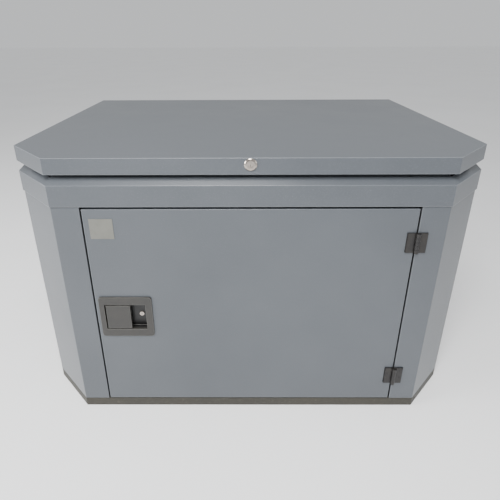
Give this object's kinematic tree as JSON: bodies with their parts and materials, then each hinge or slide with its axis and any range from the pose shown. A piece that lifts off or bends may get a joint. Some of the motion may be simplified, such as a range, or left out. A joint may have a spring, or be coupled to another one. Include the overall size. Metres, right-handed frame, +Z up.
{
  "type": "home standby generator",
  "caption": "Standby generator set in a grey weatherproof acoustic enclosure with a hinged lid, a latched front door and cut front corners.",
  "frame": {"origin": "on the ground at the middle of the footprint, on the underside of the plinth's cross rail", "axes": "+X to the right seen from the door, +Y towards the rear, +Z up"},
  "size_m": [1.2, 0.9344, 0.76],
  "materials": {
    "powder_coat": "satin powder coat with fine orange peel",
    "plinth_paint": "matt olive-brown primer",
    "zinc": "zinc plated, dull",
    "latch_grey": "grey powder coat",
    "chrome": "polished",
    "foam": "open-cell acoustic foam",
    "rubber": "matt EPDM",
    "cast_alloy": "die cast",
    "engine_black": "semi-gloss black",
    "exhaust_steel": "heat tinted",
    "lamination": "varnished steel and copper",
    "shaft_steel": "ground",
    "brass": "machined",
    "ceramic": "glazed white",
    "battery_case": "moulded polypropylene",
    "black_plastic": "fine moulded texture",
    "yellow_plastic": "moulded",
    "red_plastic": "moulded",
    "nameplate": "brushed, blank"
  },
  "bodies": {
    "enclosure": {"plinth": "plinth_paint", "base_pan": "plinth_paint", "left_corner_post": "powder_coat", "right_corner_post": "powder_coat", "left_side_panel": "powder_coat", "right_side_panel": "powder_coat", "back_panel": "powder_coat", "collar": "powder_coat", "lid_seal": "rubber", "door_seal": "rubber", "wall_foam": "foam", "inlet_louvre": "powder_coat", "outlet_louvre": "powder_coat", "panel_screws": "zinc", "lid_hinge_body_leaves": "zinc", "door_hinge_body_leaves": "zinc", "hinge_pins": "zinc", "cable_gland": "rubber", "gas_inlet": "brass", "gas_regulator": "cast_alloy", "gas_hose": "rubber", "exhaust_tailpipe": "exhaust_steel", "cradle": "engine_black", "av_mounts": "rubber", "crankcase": "cast_alloy", "engine_cylinder": "cast_alloy", "cylinder_head": "cast_alloy", "spark_plug": "ceramic", "air_cleaner": "engine_black", "muffler": "exhaust_steel", "oil_dipstick": "yellow_plastic", "blower_housing": "engine_black", "stator": "lamination", "alternator_housing": "cast_alloy", "alternator_end_bell": "cast_alloy", "battery": "battery_case", "battery_leads": "rubber", "control_stand": "zinc", "control_box": "powder_coat", "control_panel": "engine_black"},
    "rotating_set": {"crankshaft": "shaft_steel", "flywheel_fan": "cast_alloy", "rotor_core": "lamination"},
    "lid": {"lid_shell": "powder_coat", "lid_foam": "foam", "lid_hinge_lid_leaves": "zinc", "lid_lock_bezel": "chrome"},
    "lid_lock": {"lid_lock_plug": "chrome"},
    "lid_stay": {"lid_stay_rod": "zinc"},
    "door": {"door_skin": "powder_coat", "door_foam": "foam", "door_hinge_door_leaves": "zinc", "latch_housing": "latch_grey", "nameplate": "nameplate"},
    "paddle": {"latch_paddle": "latch_grey"},
    "key_plug": {"latch_key_plug": "chrome"},
    "bolt": {"latch_bolt": "zinc"},
    "mode_selector": {"mode_knob": "black_plastic"},
    "breaker": {"breaker_toggle": "black_plastic"},
    "stop": {"stop_button": "red_plastic"}
  },
  "joints": [
    {"name": "crank_spin", "type": "hinge", "parent": "enclosure", "child": "rotating_set", "pos_m": [0, 0.06, 0.215], "axis": [1, 0, 0], "continuous": true},
    {"name": "lid_hinge", "type": "hinge", "parent": "enclosure", "child": "lid", "pos_m": [0, 0.4414, 0.714], "axis": [-1, 0, 0], "range_deg": [0, 55]},
    {"name": "lid_lock_turn", "type": "hinge", "parent": "lid", "child": "lid_lock", "pos_m": [0, -0.435, 0.744], "axis": [0, -1, 0], "range_deg": [0, 90]},
    {"name": "lid_stay_swing", "type": "hinge", "parent": "lid", "child": "lid_stay", "pos_m": [0.548, 0.0014, 0.748], "axis": [-1, 0, 0], "range_deg": [0, 35]},
    {"name": "door_hinge", "type": "hinge", "parent": "enclosure", "child": "door", "pos_m": [0.41, -0.4384, 0.321], "axis": [0, 0, 1], "range_deg": [0, 115]},
    {"name": "latch_pull", "type": "hinge", "parent": "door", "child": "paddle", "pos_m": [-0.377, -0.43, 0.321], "axis": [0, 0, -1], "range_deg": [0, 35], "stiffness_Nm_per_rad": 0.5, "springref_deg": -11.46},
    {"name": "bolt_slide", "type": "slide", "parent": "door", "child": "bolt", "axis": [1, 0, 0], "range_m": [0, 0.012]},
    {"name": "latch_key_turn", "type": "hinge", "parent": "door", "child": "key_plug", "pos_m": [-0.29, -0.418, 0.321], "axis": [0, -1, 0], "range_deg": [0, 90]},
    {"name": "mode_turn", "type": "hinge", "parent": "enclosure", "child": "mode_selector", "pos_m": [0.2, -0.3, 0.4], "axis": [0, 1, 0], "range_deg": [-45, 45]},
    {"name": "breaker_throw", "type": "hinge", "parent": "enclosure", "child": "breaker", "pos_m": [0.33, -0.304, 0.4], "axis": [-1, 0, 0], "range_deg": [-40, 0]},
    {"name": "stop_push", "type": "slide", "parent": "enclosure", "child": "stop", "axis": [0, 1, 0], "range_m": [0, 0.005], "stiffness_N_per_m": 1500, "springref_m": -0.002}
  ],
  "couplings": [
    {"joint": "bolt_slide", "follows": "latch_pull", "m_per_rad": 0.01963}
  ]
}
